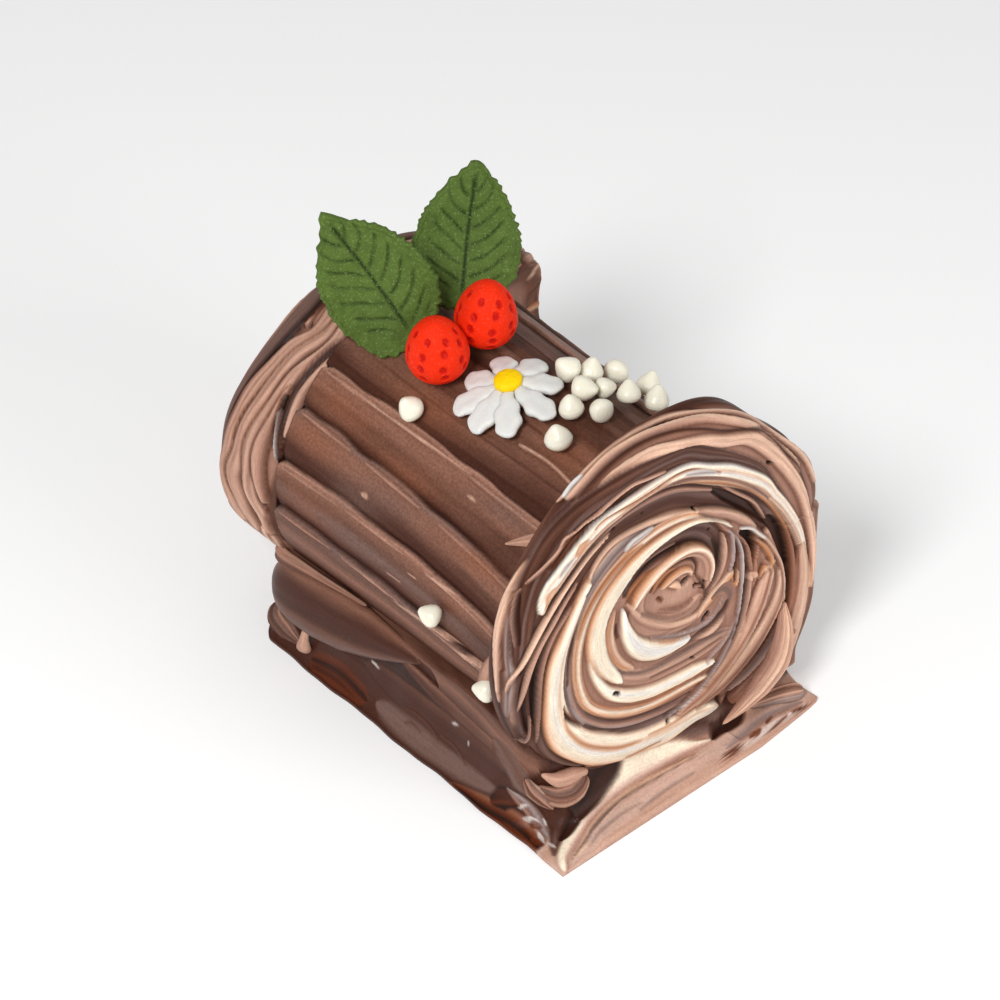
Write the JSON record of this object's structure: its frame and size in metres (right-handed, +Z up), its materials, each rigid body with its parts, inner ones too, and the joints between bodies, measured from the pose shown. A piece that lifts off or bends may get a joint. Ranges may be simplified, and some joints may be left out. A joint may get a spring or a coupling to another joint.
{
  "type": "yule log cake",
  "caption": "Small yule log cake: a chocolate cream roll with a marbled swirl at each end, topped with sugar leaves, berries, a daisy and white chocolate drops.",
  "frame": {"origin": "on the surface that the cake rests on, below the axis of the roll and near the middle of its length", "axes": "+Y along the roll towards its back end, -Y towards the end with the marbled swirl that faces front, +Z up"},
  "size_m": [0.1122, 0.143, 0.1341],
  "materials": {
    "chocolate_frosting": "satin chocolate cream",
    "swirled_cream": "satin cream, marbled from ivory to dark chocolate",
    "leaf_sugar": "matt speckled sugar paste",
    "berry_sugar": "satin sugar paste",
    "petal_sugar": "smooth translucent sugar paste",
    "yellow_sugar": "matt sugar paste",
    "white_chocolate": "satin white chocolate"
  },
  "bodies": {
    "root": {"frosted_roll": "chocolate_frosting", "front_swirl": "swirled_cream", "back_swirl": "swirled_cream", "leaf_left": "leaf_sugar", "leaf_right": "leaf_sugar", "berry_left": "berry_sugar", "berry_right": "berry_sugar", "daisy_petals": "petal_sugar", "daisy_centre": "yellow_sugar", "white_drop_01": "white_chocolate", "white_drop_02": "white_chocolate", "white_drop_03": "white_chocolate", "white_drop_04": "white_chocolate", "white_drop_05": "white_chocolate", "white_drop_06": "white_chocolate", "white_drop_07": "white_chocolate", "white_drop_08": "white_chocolate", "white_drop_09": "white_chocolate", "white_drop_10": "white_chocolate", "white_drop_11": "white_chocolate", "white_drop_12": "white_chocolate", "white_drop_13": "white_chocolate", "white_drop_14": "white_chocolate"}
  },
  "joints": []
}
